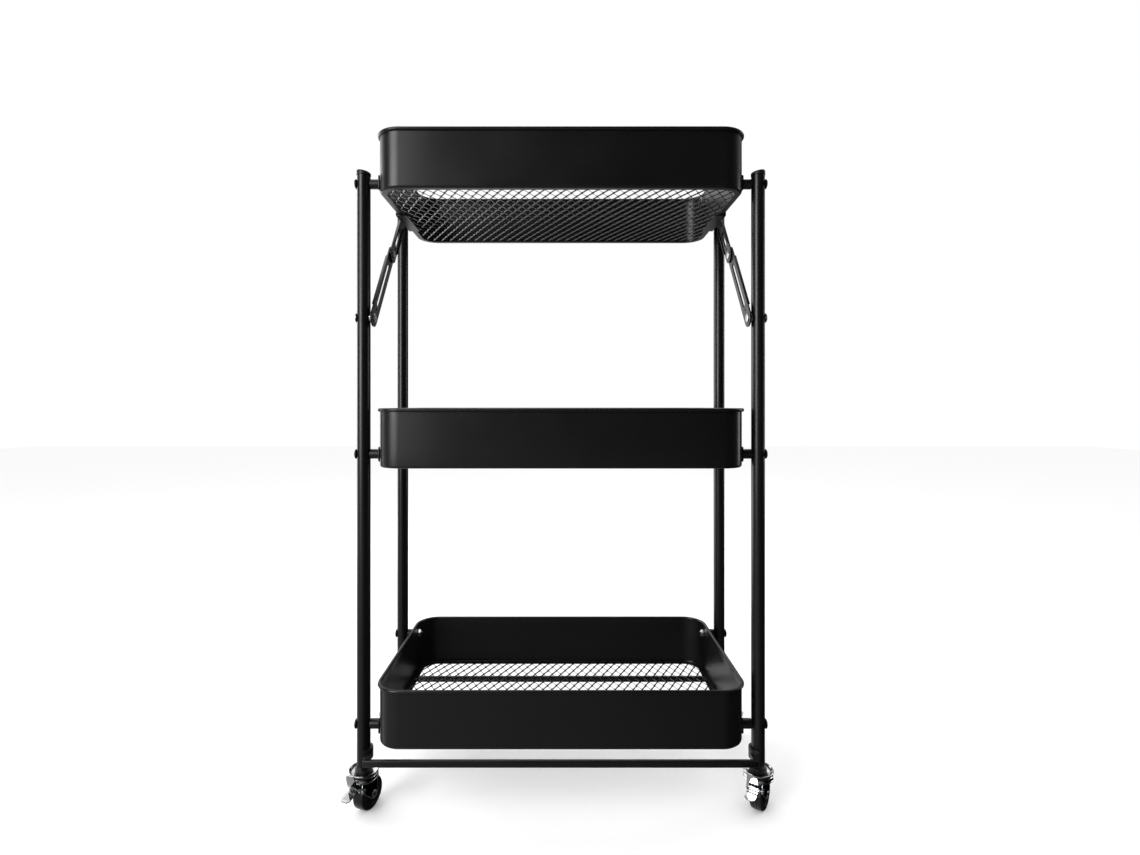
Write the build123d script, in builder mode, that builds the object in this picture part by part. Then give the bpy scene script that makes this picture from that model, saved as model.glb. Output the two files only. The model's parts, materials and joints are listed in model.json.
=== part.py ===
from build123d import *
from math import atan2, cos, degrees, hypot, radians, sin
import os

"""Three-tier folding utility cart, in millimetres, standing on z = 0 with its front facing -Y.

The trays hang on pivots between a front frame and a rear frame, so the whole cart is a parallelogram that
folds flat. Two folding stays brace the top tray against the front posts.
"""

os.makedirs("parts", exist_ok=True)

# ---- trays ----
TRAY_LENGTH, TRAY_DEPTH, TRAY_HEIGHT = 408.0, 224.0, 66.0
TRAY_CORNER = 27.0
SHEET = 1.0
TRAY_BEND = 3.0
FLANGE = 8.0
RIM_RADIUS = 2.0
RIM_STAND_OFF = 0.5
LOWEST_TRAY, TRAY_PITCH = 85.5, 306.5
TRAYS = {
    "bottom_tray": LOWEST_TRAY,
    "middle_tray": LOWEST_TRAY + TRAY_PITCH,
    "top_tray": LOWEST_TRAY + 2 * TRAY_PITCH,
}

# ---- expanded-metal floor ----
MESH_THICKNESS = 1.2
MESH_BORDER = 7.0
MESH_EDGE_GAP = 2.4
DIAMOND_SHORT, DIAMOND_LONG = 23.8, 45.0
STRAND = 2.4
DIAMOND_COLUMNS, DIAMOND_ROWS = 18, 6

# ---- posts and pivots ----
POST_X, POST_Y = 224.2, 83.0
POST_RADIUS, POST_WALL = 7.5, 1.0
POST_BOTTOM = 50.5
POST_TOPS = {"front": 722.1, "rear": 757.5}
PIVOT_HEIGHTS = {"front": 14.0, "rear": 53.0}
BOLT_RADIUS = 3.0
RUNNING_GAP = 0.06
MOVING_GAP = 0.3
BOLT_HEAD_RADIUS, BOLT_HEAD = 5.5, 2.5
SPACER_RADIUS = 5.5
PLATE = 1.5
PLATE_WIDTH, PLATE_HEIGHT = 16.0, 17.0
NUT_ACROSS_FLATS, NUT_HEIGHT, NUT_SEAT_GAP = 9.0, 5.2, 0.3

# ---- post caps ----
CAP_RADIUS, CAP_HEIGHT, CAP_DROP = 7.9, 7.0, 3.2
CAP_PLUGS = {"front": 5.5, "rear": 2.0}

# ---- lower rails ----
RAIL_Z, RAIL_HEIGHT, RAIL_THICKNESS = 65.0, 8.0, 5.0
RAIL_END_X = 219.0
RAIL_STAND_OFF = 16.0
CLIP_WALL, CLIP_RISE = 3.0, 4.0

# ---- folding stays ----
STAY_LOW_Z = 560.5
STAY_TRAY_REACH = 118.0
LINK_WIDTH, LINK_THICKNESS = 20.0, 1.8
LINK_EDGE_WIDTH, LINK_EDGE_RISE = 1.2, 1.4
LINK_SLOT_WIDTH = 6.0
UPPER_LINK_X, LOWER_LINK_X = 209.8, 212.0
RIVET_RADIUS, RIVET_HEAD_RADIUS, RIVET_HEAD = 2.5, 5.0, 1.2
SHOULDER_RADIUS = 5.0
BRACKET_Y, BRACKET_LENGTH, BRACKET_TOP, BRACKET_LEG = 13.0, 66.0, 27.0, 14.0

# ---- casters, in the wheel's own plane: y along the trail, the pedal towards -y ----
WHEEL_RADIUS, WHEEL_WIDTH, WHEEL_ROUND = 18.0, 14.0, 2.5
WHEEL_RECESS_RADIUS, WHEEL_RECESS, HUB_RADIUS = 12.5, 1.5, 5.0
TRAIL = 7.0
AXLE_RADIUS, AXLE_HEAD_RADIUS = 2.5, 4.0
AXLE_GAP = 0.05
RACE_RADIUS = 16.5
FORK_TOP, FORK_PLATE, FORK_SKIRT = 44.6, 1.8, 5.3
LEG_INNER, LEG_THICKNESS = 7.8, 1.4
LEG_FRONT, LEG_BACK = -13.0, 13.3
AXLE_EYE, LEVER_EYE = 5.4, 3.4
CUP_RADIUS, CUP_RIM_TOP, CUP_RIM_BOTTOM = 17.0, 48.6, 47.0
CUP_FLOOR, CUP_UNDERSIDE, CUP_FLOOR_RADIUS = 46.2, 45.0, 13.2
KING_PIN_RADIUS, KING_HEAD_RADIUS, KING_HEAD = 3.0, 4.5, 1.2
STEM_RADIUS, STEM_TOP = 4.0, 74.5
SOCKET_LIP_RADIUS, SOCKET_LIP_CHAMFER, SOCKET_TOP = 9.6, 1.5, 80.0
LEVER_PIN_Y, LEVER_PIN_Z, LEVER_PIN_RADIUS = -10.6, 30.7, 1.5
LEVER_WIDTH, LEVER_HUB_RADIUS = 12.0, 2.9
CAM_RADIUS, CAM_REACH, CAM_ANGLE = 1.0, 2.4, -60.8
PEDAL_REACH, PEDAL_TIP_Z, PEDAL_SHEET = 33.6, 29.3, 1.5
TAB_KNEE_Y, TAB_KNEE_Z = -19.6, 37.5
TAB_TOP_Y, TAB_TOP = -23.6, 53.0
CASTERS = {
    "front_left": (-POST_X, -POST_Y, -21.0),
    "front_right": (POST_X, -POST_Y, -35.0),
    "rear_left": (-POST_X, POST_Y, -68.0),
    "rear_right": (POST_X, POST_Y, 68.0),
}

SIDES = {"left": -1, "right": 1}
ENDS = {"front": -1, "rear": 1}
TUBE_BORE = POST_RADIUS - POST_WALL
POST_INSIDE = POST_X - POST_RADIUS
POST_OUTSIDE = POST_X + POST_RADIUS
TRAY_SIDE = TRAY_LENGTH / 2
FRONT_PIVOT_Z = TRAYS["top_tray"] + PIVOT_HEIGHTS["front"]


def save(piece, name):
    """Label a finished piece and write its STEP file."""
    piece.label = name
    export_step(piece, f"parts/{name}.step")


def bar_along_x(side, start, end, radius, spots, mode=Mode.ADD):
    """Round bars along X on one side of the cart, from |x| = start to end, at each (y, z)."""
    middle = side * (start + end) / 2
    with Locations(*[(middle, y, z) for y, z in spots]):
        Cylinder(radius, end - start, rotation=(0, 90, 0), mode=mode)


def pivot_spots(floor_z):
    """The (y, z) of a tray's front and rear pivots."""
    return [(ENDS[end] * POST_Y, floor_z + height) for end, height in PIVOT_HEIGHTS.items()]


# ---------------------------------------------------------------- trays
def tray_shell(name, floor_z):
    inside = TRAY_LENGTH - 2 * SHEET, TRAY_DEPTH - 2 * SHEET
    window = TRAY_LENGTH - 2 * FLANGE, TRAY_DEPTH - 2 * FLANGE
    rim_x = TRAY_SIDE + RIM_STAND_OFF
    rim_y = TRAY_DEPTH / 2 + RIM_STAND_OFF
    rim_z = floor_z + TRAY_HEIGHT - RIM_RADIUS
    corners = [(-rim_x, -rim_y, rim_z), (rim_x, -rim_y, rim_z), (rim_x, rim_y, rim_z), (-rim_x, rim_y, rim_z)]
    with BuildPart() as shell:
        with BuildSketch(Plane.XY.offset(floor_z)):
            RectangleRounded(TRAY_LENGTH, TRAY_DEPTH, TRAY_CORNER)
        extrude(amount=TRAY_HEIGHT)
        fillet(shell.faces().sort_by(Axis.Z)[0].edges(), TRAY_BEND)
        with BuildPart(mode=Mode.PRIVATE) as hollow:
            with BuildSketch(Plane.XY.offset(floor_z + SHEET)):
                RectangleRounded(*inside, TRAY_CORNER - SHEET)
            extrude(amount=TRAY_HEIGHT)
            fillet(hollow.faces().sort_by(Axis.Z)[0].edges(), TRAY_BEND - SHEET)
        add(hollow.part, mode=Mode.SUBTRACT)
        with BuildSketch(Plane.XY.offset(floor_z)):
            RectangleRounded(*window, TRAY_CORNER - FLANGE)
        extrude(amount=TRAY_HEIGHT, mode=Mode.SUBTRACT)
        with BuildLine():
            rim = FilletPolyline(*corners, radius=TRAY_CORNER + RIM_STAND_OFF, close=True)
        with BuildSketch(Plane(origin=rim @ 0, z_dir=rim % 0)):
            Circle(RIM_RADIUS)
        sweep()
        for side in SIDES.values():
            bar_along_x(side, TRAY_SIDE - 10, TRAY_SIDE + 5, BOLT_RADIUS, pivot_spots(floor_z), Mode.SUBTRACT)
    save(shell.part, f"{name}_shell")


def mesh_outline():
    """The mesh floor seen from above: a plain border around two interleaved rows of diamond openings."""
    length = TRAY_LENGTH - 2 * (SHEET + MESH_EDGE_GAP)
    depth = TRAY_DEPTH - 2 * (SHEET + MESH_EDGE_GAP)
    corner = TRAY_CORNER - SHEET - MESH_EDGE_GAP
    half_short, half_long = DIAMOND_SHORT / 2, DIAMOND_LONG / 2
    side = hypot(half_short, half_long)
    open_short = half_short - STRAND / 2 * side / half_long
    open_long = half_long - STRAND / 2 * side / half_short
    diamond = [(-open_short, 0), (0, -open_long), (open_short, 0), (0, open_long)]
    with BuildSketch() as openings:
        for fewer in (0, 1):
            with GridLocations(DIAMOND_SHORT, DIAMOND_LONG, DIAMOND_COLUMNS - fewer, DIAMOND_ROWS - fewer):
                Polygon(*diamond)
        border = 2 * MESH_BORDER
        RectangleRounded(length - border, depth - border, corner - MESH_BORDER, mode=Mode.INTERSECT)
    with BuildSketch() as outline:
        RectangleRounded(length, depth, corner)
        add(openings.sketch, mode=Mode.SUBTRACT)
    return outline.sketch


def tray_mesh(name, floor_z, outline):
    with BuildPart() as mesh:
        with BuildSketch(Plane.XY.offset(floor_z + SHEET)):
            add(outline)
        extrude(amount=MESH_THICKNESS)
    save(mesh.part, f"{name}_mesh")


def tray_pivots(name, floor_z):
    """The plates, spacers, bolts and lock nuts that hang one tray between the four posts."""
    spots = pivot_spots(floor_z)
    spacer_end = POST_INSIDE - MOVING_GAP
    head_start = POST_OUTSIDE + MOVING_GAP
    nut_outer = TRAY_SIDE - SHEET - NUT_SEAT_GAP
    nut_inner = nut_outer - NUT_HEIGHT

    with BuildPart() as plates:
        for side in SIDES.values():
            with BuildSketch(Plane.YZ.offset(side * TRAY_SIDE)):
                with Locations(*spots):
                    RectangleRounded(PLATE_WIDTH, PLATE_HEIGHT, 3)
                    Circle(BOLT_RADIUS, mode=Mode.SUBTRACT)
            extrude(amount=side * PLATE)
    save(plates.part, f"{name}_pivot_plates")

    with BuildPart() as spacers:
        for side in SIDES.values():
            bar_along_x(side, TRAY_SIDE + PLATE, spacer_end, SPACER_RADIUS, spots)
            bar_along_x(side, TRAY_SIDE, POST_INSIDE, BOLT_RADIUS, spots, Mode.SUBTRACT)
    save(spacers.part, f"{name}_spacers")

    with BuildPart() as bolts:
        for side in SIDES.values():
            bar_along_x(side, head_start, head_start + BOLT_HEAD, BOLT_HEAD_RADIUS, spots)
        outer_rims = bolts.edges().filter_by(lambda edge: abs(edge.center().X) > head_start + BOLT_HEAD / 2)
        fillet(outer_rims, BOLT_HEAD * 0.8)
        for side in SIDES.values():
            bar_along_x(side, nut_inner - 1, head_start, BOLT_RADIUS, spots)
    save(bolts.part, f"{name}_pivot_bolts")

    with BuildPart() as nuts:
        for side in SIDES.values():
            with BuildSketch(Plane.YZ.offset(side * nut_inner)):
                with Locations(*spots):
                    RegularPolygon(NUT_ACROSS_FLATS / 2, 6, major_radius=False)
                    Circle(BOLT_RADIUS, mode=Mode.SUBTRACT)
            extrude(amount=side * NUT_HEIGHT)
    save(nuts.part, f"{name}_lock_nuts")


def make_trays():
    outline = mesh_outline()
    for name, floor_z in TRAYS.items():
        tray_shell(name, floor_z)
        tray_mesh(name, floor_z, outline)
        tray_pivots(name, floor_z)


# ---------------------------------------------------------------- front and rear frames
def post(end, side_name):
    side = SIDES[side_name]
    x, y = side * POST_X, ENDS[end] * POST_Y
    bores = [(y, floor_z + PIVOT_HEIGHTS[end]) for floor_z in TRAYS.values()]
    with BuildPart() as tube:
        with BuildSketch(Plane.XY.offset(POST_BOTTOM)):
            with Locations((x, y)):
                Circle(POST_RADIUS)
                Circle(TUBE_BORE, mode=Mode.SUBTRACT)
        extrude(amount=POST_TOPS[end] - POST_BOTTOM)
        bar_along_x(side, POST_INSIDE - 1, POST_OUTSIDE + 1, BOLT_RADIUS + RUNNING_GAP, bores, Mode.SUBTRACT)
        if end == "front":
            stay_bore = [(y, STAY_LOW_Z)]
            bar_along_x(side, POST_INSIDE - 1, POST_OUTSIDE + 1, RIVET_RADIUS, stay_bore, Mode.SUBTRACT)
    save(tube.part, f"{end}_post_{side_name}")


def post_caps(end):
    """Plug-in caps whose tops slope down towards the trays."""
    top = POST_TOPS[end]
    slope = degrees(atan2(CAP_DROP, 2 * CAP_RADIUS))
    with BuildPart() as caps:
        for side in SIDES.values():
            x, y = side * POST_X, ENDS[end] * POST_Y
            with Locations((x, y, top)):
                Cylinder(CAP_RADIUS, CAP_HEIGHT, align=(Align.CENTER, Align.CENTER, Align.MIN))
            with Locations(Location((x + side * CAP_RADIUS, y, top + CAP_HEIGHT), (0, -side * slope, 0))):
                Box(6 * CAP_RADIUS, 3 * CAP_RADIUS, CAP_HEIGHT,
                    align=(Align.CENTER, Align.CENTER, Align.MIN), mode=Mode.SUBTRACT)
        top_rims = caps.faces().filter_by(GeomType.PLANE).filter_by(lambda face: face.center().Z > top + 1)
        fillet(top_rims.edges(), 1.5)
        for side in SIDES.values():
            with Locations((side * POST_X, ENDS[end] * POST_Y, top)):
                Cylinder(TUBE_BORE, CAP_PLUGS[end], align=(Align.CENTER, Align.CENTER, Align.MAX))
    save(caps.part, f"{end}_post_caps")


def rail(end):
    middle_y = ENDS[end] * (POST_Y + RAIL_STAND_OFF + RAIL_THICKNESS / 2)
    with BuildPart() as bar:
        with Locations((0, middle_y, RAIL_Z)):
            Box(2 * RAIL_END_X, RAIL_THICKNESS, RAIL_HEIGHT)
        fillet(bar.edges().filter_by(Axis.X), 1.5)
    save(bar.part, f"{end}_rail")


def rail_clips(end):
    """Clips that grip the inner half of each post and carry the rail on a block."""
    block_depth = RAIL_STAND_OFF - POST_RADIUS + 1
    low = RAIL_Z - RAIL_HEIGHT / 2
    with BuildPart() as clips:
        for side in SIDES.values():
            x, y = side * POST_X, ENDS[end] * POST_Y
            block_y = ENDS[end] * (POST_Y + RAIL_STAND_OFF - block_depth / 2)
            with BuildSketch(Plane.XY.offset(low)):
                with Locations((x, y)):
                    Circle(POST_RADIUS + CLIP_WALL)
                with Locations((x + side * (POST_RADIUS + 2), y)):
                    Rectangle(2 * POST_RADIUS, 4 * POST_RADIUS, mode=Mode.SUBTRACT)
                with Locations((x, y)):
                    Circle(POST_RADIUS, mode=Mode.SUBTRACT)
            extrude(amount=RAIL_HEIGHT + CLIP_RISE)
            with BuildSketch(Plane.XY.offset(low)):
                with Locations((x - side * POST_RADIUS, block_y)):
                    Rectangle(POST_RADIUS, block_depth)
                with Locations((x, y)):
                    Circle(POST_RADIUS, mode=Mode.SUBTRACT)
            extrude(amount=RAIL_HEIGHT)
    save(clips.part, f"{end}_rail_clips")


def caster_sockets(end):
    """Plastic tube-end plugs, each with a chamfered lip that fills the tube's end down to the caster's cup."""
    upwards = (Align.CENTER, Align.CENTER, Align.MIN)
    with BuildPart() as sockets:
        with Locations(*[(side * POST_X, ENDS[end] * POST_Y, CUP_FLOOR) for side in SIDES.values()]):
            Cylinder(SOCKET_LIP_RADIUS, POST_BOTTOM - CUP_FLOOR, align=upwards)
        lip_edges = sockets.edges().filter_by(lambda edge: edge.center().Z > POST_BOTTOM - 0.1)
        chamfer(lip_edges, SOCKET_LIP_CHAMFER)
        with Locations(*[(side * POST_X, ENDS[end] * POST_Y, CUP_FLOOR) for side in SIDES.values()]):
            Cylinder(TUBE_BORE, SOCKET_TOP - CUP_FLOOR, align=upwards)
            Cylinder(STEM_RADIUS, STEM_TOP - CUP_FLOOR, align=upwards, mode=Mode.SUBTRACT)
    save(sockets.part, f"{end}_caster_sockets")


def caster_stems(end):
    """A stem, its dished upper cup and the king pin that the fork turns on, for both corners of one frame."""
    king_bottom = FORK_TOP - FORK_PLATE - MOVING_GAP
    profile = [
        (0, STEM_TOP), (STEM_RADIUS, STEM_TOP), (STEM_RADIUS, CUP_FLOOR), (CUP_FLOOR_RADIUS, CUP_FLOOR),
        (CUP_RADIUS - 2, CUP_RIM_TOP), (CUP_RADIUS, CUP_RIM_TOP), (CUP_RADIUS, CUP_RIM_BOTTOM),
        (CUP_RADIUS - 1, CUP_RIM_BOTTOM), (CUP_FLOOR_RADIUS + 1, CUP_UNDERSIDE),
        (KING_PIN_RADIUS, CUP_UNDERSIDE), (KING_PIN_RADIUS, king_bottom), (KING_HEAD_RADIUS, king_bottom),
        (KING_HEAD_RADIUS, king_bottom - KING_HEAD), (0, king_bottom - KING_HEAD),
    ]
    with BuildPart() as stems:
        for side in SIDES.values():
            centre = (side * POST_X, ENDS[end] * POST_Y, 0)
            with BuildSketch(Plane(origin=centre, x_dir=(1, 0, 0), z_dir=(0, -1, 0))):
                Polygon(*profile, align=None)
            revolve(axis=Axis(centre, (0, 0, 1)))
    save(stems.part, f"{end}_caster_stems")


def make_frames():
    for end in ENDS:
        for side_name in SIDES:
            post(end, side_name)
        post_caps(end)
        rail(end)
        rail_clips(end)
        caster_sockets(end)
        caster_stems(end)


# ---------------------------------------------------------------- folding stays
def stay_geometry():
    """The (y, z) of the post pivot, the knee and the tray pivot with the stay pulled straight.

    Folded, the tray pivot lies straight below the tray's own front pivot and above the post pivot, so the
    two links differ by that last distance and add up to the open span.
    """
    low = (-POST_Y, STAY_LOW_Z)
    high = (-POST_Y + STAY_TRAY_REACH, FRONT_PIVOT_Z)
    span = hypot(high[0] - low[0], high[1] - low[1])
    folded = FRONT_PIVOT_Z - STAY_TRAY_REACH - STAY_LOW_Z
    lower_length = (span + folded) / 2
    share = lower_length / span
    knee = (low[0] + share * (high[0] - low[0]), low[1] + share * (high[1] - low[1]))
    return low, knee, high


def link(name, side, inner_x, start, end, edge_rise, slot, bores):
    """A pressed strip with two raised edges, a lightening slot and a bore at each end."""
    length = hypot(end[0] - start[0], end[1] - start[1])
    along = (0, (end[0] - start[0]) / length, (end[1] - start[1]) / length)
    plane = Plane(origin=(side * inner_x, *start), x_dir=along, z_dir=(side, 0, 0))
    outer = plane.offset(LINK_THICKNESS if edge_rise > 0 else 0)
    slot_start, slot_end = slot
    with BuildPart() as strip:
        with BuildSketch(plane):
            with Locations((length / 2, 0)):
                SlotCenterToCenter(length, LINK_WIDTH)
            with Locations(((slot_start + slot_end) / 2, 0)):
                SlotCenterToCenter(slot_end - slot_start, LINK_SLOT_WIDTH, mode=Mode.SUBTRACT)
            for x, radius in zip((0, length), bores):
                with Locations((x, 0)):
                    Circle(radius, mode=Mode.SUBTRACT)
        extrude(amount=LINK_THICKNESS)
        with BuildSketch(outer):
            for edge_y in (-1, 1):
                with Locations((length / 2, edge_y * (LINK_WIDTH - LINK_EDGE_WIDTH) / 2)):
                    Rectangle(length - 1.5 * LINK_WIDTH, LINK_EDGE_WIDTH)
        extrude(amount=edge_rise)
    save(strip.part, name)


def make_stays():
    low, knee, high = stay_geometry()
    loose, tight = RIVET_RADIUS + RUNNING_GAP, RIVET_RADIUS
    lower_outer = LOWER_LINK_X + LINK_THICKNESS
    upper_outer = UPPER_LINK_X + LINK_THICKNESS
    bracket_outer = TRAY_SIDE + PLATE
    for side_name, side in SIDES.items():
        link(f"stay_lower_link_{side_name}", side, LOWER_LINK_X, low, knee, LINK_EDGE_RISE,
             (22, 92), (loose, tight))
        link(f"stay_upper_link_{side_name}", side, UPPER_LINK_X, knee, high, -LINK_EDGE_RISE,
             (20, 44), (loose, tight))
        with BuildPart() as knee_rivet:
            inner = UPPER_LINK_X - MOVING_GAP
            bar_along_x(side, inner - RIVET_HEAD, inner, RIVET_HEAD_RADIUS, [knee])
            bar_along_x(side, lower_outer, lower_outer + RIVET_HEAD, RIVET_HEAD_RADIUS, [knee])
            fillet(knee_rivet.edges().sort_by(Axis.X)[0], RIVET_HEAD * 0.7)
            fillet(knee_rivet.edges().sort_by(Axis.X)[-1], RIVET_HEAD * 0.7)
            bar_along_x(side, inner, lower_outer, RIVET_RADIUS, [knee])
        save(knee_rivet.part, f"stay_knee_rivet_{side_name}")
        with BuildPart() as tray_rivet:
            bar_along_x(side, bracket_outer + MOVING_GAP + 0.1, UPPER_LINK_X, SHOULDER_RADIUS, [high])
            bar_along_x(side, UPPER_LINK_X, upper_outer, RIVET_RADIUS, [high])
        save(tray_rivet.part, f"stay_tray_rivet_{side_name}")

    with BuildPart() as post_bolts:
        for side in SIDES.values():
            inner = LOWER_LINK_X - 0.2
            bar_along_x(side, inner - RIVET_HEAD, inner, RIVET_HEAD_RADIUS, [low])
            bar_along_x(side, lower_outer + 0.2, POST_INSIDE, SHOULDER_RADIUS, [low])
            bar_along_x(side, inner, POST_OUTSIDE, RIVET_RADIUS, [low])
            bar_along_x(side, POST_OUTSIDE, POST_OUTSIDE + BOLT_HEAD, BOLT_HEAD_RADIUS, [low])
        outer_rims = post_bolts.edges().filter_by(lambda edge: abs(edge.center().X) > POST_OUTSIDE + 1)
        fillet(outer_rims, BOLT_HEAD * 0.8)
    save(post_bolts.part, "stay_post_bolts")

    floor_z = TRAYS["top_tray"]
    with BuildPart() as brackets:
        for side in SIDES.values():
            with BuildSketch(Plane.XZ.offset(-(BRACKET_Y + BRACKET_LENGTH / 2))):
                with Locations((side * (TRAY_SIDE + PLATE / 2), floor_z + (BRACKET_TOP - PLATE) / 2)):
                    Rectangle(PLATE, BRACKET_TOP + PLATE)
                with Locations((side * (TRAY_SIDE + PLATE - BRACKET_LEG / 2), floor_z - PLATE / 2)):
                    Rectangle(BRACKET_LEG, PLATE)
            extrude(amount=BRACKET_LENGTH)
        top_corners = brackets.edges().filter_by(Axis.X).filter_by(lambda edge: edge.center().Z > floor_z)
        fillet(top_corners, 5)
    save(brackets.part, "stay_tray_brackets")


# ---------------------------------------------------------------- casters
def wheel_plane(place, offset=0.0):
    """An upright plane across a caster's axle: local x along the trail, local y up."""
    x, y, turn = place
    axle = (cos(radians(turn)), sin(radians(turn)), 0)
    trail = (-axle[1], axle[0], 0)
    origin = (x + offset * axle[0], y + offset * axle[1], 0)
    return Plane(origin=origin, x_dir=trail, z_dir=axle)


def caster_fork(name, place):
    """A pressed cap that turns under the cup, with a leg down each side of the wheel."""
    x, y, _ = place
    skirt_bottom = FORK_TOP - FORK_SKIRT
    leg = [
        (LEG_FRONT, FORK_TOP - 1), (LEG_BACK, FORK_TOP - 1), (TRAIL + AXLE_EYE, WHEEL_RADIUS),
        (TRAIL, WHEEL_RADIUS - AXLE_EYE), (LEVER_PIN_Y - LEVER_EYE, LEVER_PIN_Z - LEVER_EYE / 2),
    ]
    with BuildPart() as fork:
        with Locations((x, y, skirt_bottom)):
            Cylinder(RACE_RADIUS, FORK_SKIRT, align=(Align.CENTER, Align.CENTER, Align.MIN))
            fillet(fork.edges().sort_by(Axis.Z)[-1], FORK_PLATE - 0.4)
            Cylinder(RACE_RADIUS - 1.5, FORK_SKIRT - FORK_PLATE, align=(Align.CENTER, Align.CENTER, Align.MIN),
                     mode=Mode.SUBTRACT)
            Cylinder(KING_PIN_RADIUS + RUNNING_GAP, FORK_SKIRT, align=(Align.CENTER, Align.CENTER, Align.MIN),
                     mode=Mode.SUBTRACT)
        for hand in (-1, 1):
            with BuildSketch(wheel_plane(place, hand * LEG_INNER)):
                Polygon(*leg, align=None)
                with Locations((TRAIL, WHEEL_RADIUS)):
                    Circle(AXLE_EYE)
                    Circle(AXLE_RADIUS, mode=Mode.SUBTRACT)
                with Locations((LEVER_PIN_Y, LEVER_PIN_Z)):
                    Circle(LEVER_EYE)
                    Circle(LEVER_PIN_RADIUS, mode=Mode.SUBTRACT)
            extrude(amount=hand * LEG_THICKNESS)
    save(fork.part, f"{name}_fork")


def caster_wheel(name, place):
    start = wheel_plane(place, -WHEEL_WIDTH / 2)
    with BuildPart() as wheel:
        with BuildSketch(start):
            with Locations((TRAIL, WHEEL_RADIUS)):
                Circle(WHEEL_RADIUS)
        extrude(amount=WHEEL_WIDTH)
        fillet(wheel.edges(), WHEEL_ROUND)
        for offset, inwards in ((-WHEEL_WIDTH / 2, 1), (WHEEL_WIDTH / 2, -1)):
            with BuildSketch(wheel_plane(place, offset)):
                with Locations((TRAIL, WHEEL_RADIUS)):
                    Circle(WHEEL_RECESS_RADIUS)
                    Circle(HUB_RADIUS, mode=Mode.SUBTRACT)
            extrude(amount=inwards * WHEEL_RECESS, mode=Mode.SUBTRACT)
        with BuildSketch(start):
            with Locations((TRAIL, WHEEL_RADIUS)):
                Circle(AXLE_RADIUS + AXLE_GAP)
        extrude(amount=WHEEL_WIDTH, mode=Mode.SUBTRACT)
    save(wheel.part, f"{name}_wheel")


def caster_rivets(name, place):
    """The axle rivet and the brake lever's rivet, each headed outside both fork legs."""
    outside = LEG_INNER + LEG_THICKNESS
    pins = (
        (TRAIL, WHEEL_RADIUS, AXLE_RADIUS, AXLE_HEAD_RADIUS),
        (LEVER_PIN_Y, LEVER_PIN_Z, LEVER_PIN_RADIUS, LEVER_PIN_RADIUS + 1),
    )
    with BuildPart() as rivets:
        for along, up, radius, head_radius in pins:
            with BuildSketch(wheel_plane(place, -outside)):
                with Locations((along, up)):
                    Circle(radius)
            extrude(amount=2 * outside)
            for hand in (-1, 1):
                with BuildSketch(wheel_plane(place, hand * outside)):
                    with Locations((along, up)):
                        Circle(head_radius)
                extrude(amount=hand * RIVET_HEAD)
    save(rivets.part, f"{name}_rivets")


def caster_brake_lever(name, place):
    """A pressed rocker: a cam at the rivet, a pedal reaching out and a release tab rising past the race."""
    cam = radians(CAM_ANGLE)
    cam_centre = (LEVER_PIN_Y + CAM_REACH * cos(cam), LEVER_PIN_Z + CAM_REACH * sin(cam))
    root_y = LEVER_PIN_Y - 1
    root_z = LEVER_PIN_Z + LEVER_HUB_RADIUS
    pedal = [
        (root_y, root_z), (root_y, root_z - PEDAL_SHEET - 1), (-PEDAL_REACH, PEDAL_TIP_Z),
        (-PEDAL_REACH, PEDAL_TIP_Z + PEDAL_SHEET),
    ]
    tab = [
        (root_y, root_z), (root_y - 1, root_z - 2.5), (TAB_KNEE_Y, TAB_KNEE_Z), (TAB_TOP_Y, TAB_TOP),
        (TAB_TOP_Y + PEDAL_SHEET, TAB_TOP), (TAB_KNEE_Y + PEDAL_SHEET, TAB_KNEE_Z + 0.7),
    ]
    outwards = Axis((place[0], place[1], 0), tuple(wheel_plane(place).x_dir * -1))
    with BuildPart() as lever:
        with BuildSketch(wheel_plane(place, -LEVER_WIDTH / 2)):
            Polygon(*pedal, align=None)
            Polygon(*tab, align=None)
            with Locations((LEVER_PIN_Y, LEVER_PIN_Z)):
                Circle(LEVER_HUB_RADIUS)
            with Locations(cam_centre):
                Circle(CAM_RADIUS)
            with Locations((LEVER_PIN_Y, LEVER_PIN_Z)):
                Circle(LEVER_PIN_RADIUS + AXLE_GAP, mode=Mode.SUBTRACT)
        extrude(amount=LEVER_WIDTH)
        tip_corners = lever.faces().sort_by(outwards)[-1].edges().sort_by(SortBy.LENGTH)[:2]
        fillet(tip_corners, 4)
    save(lever.part, f"{name}_brake_lever")


def make_casters():
    for corner, place in CASTERS.items():
        name = f"{corner}_caster"
        caster_fork(name, place)
        caster_wheel(name, place)
        caster_rivets(name, place)
        caster_brake_lever(name, place)


make_trays()
make_frames()
make_stays()
make_casters()
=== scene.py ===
"""Looks of the folding three-tier utility cart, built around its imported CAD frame. Metres, front facing -Y."""
import json
from math import atan2, ceil, cos, hypot, pi, radians, sin

import bmesh
import bpy
from mathutils import Matrix, Vector


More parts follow.
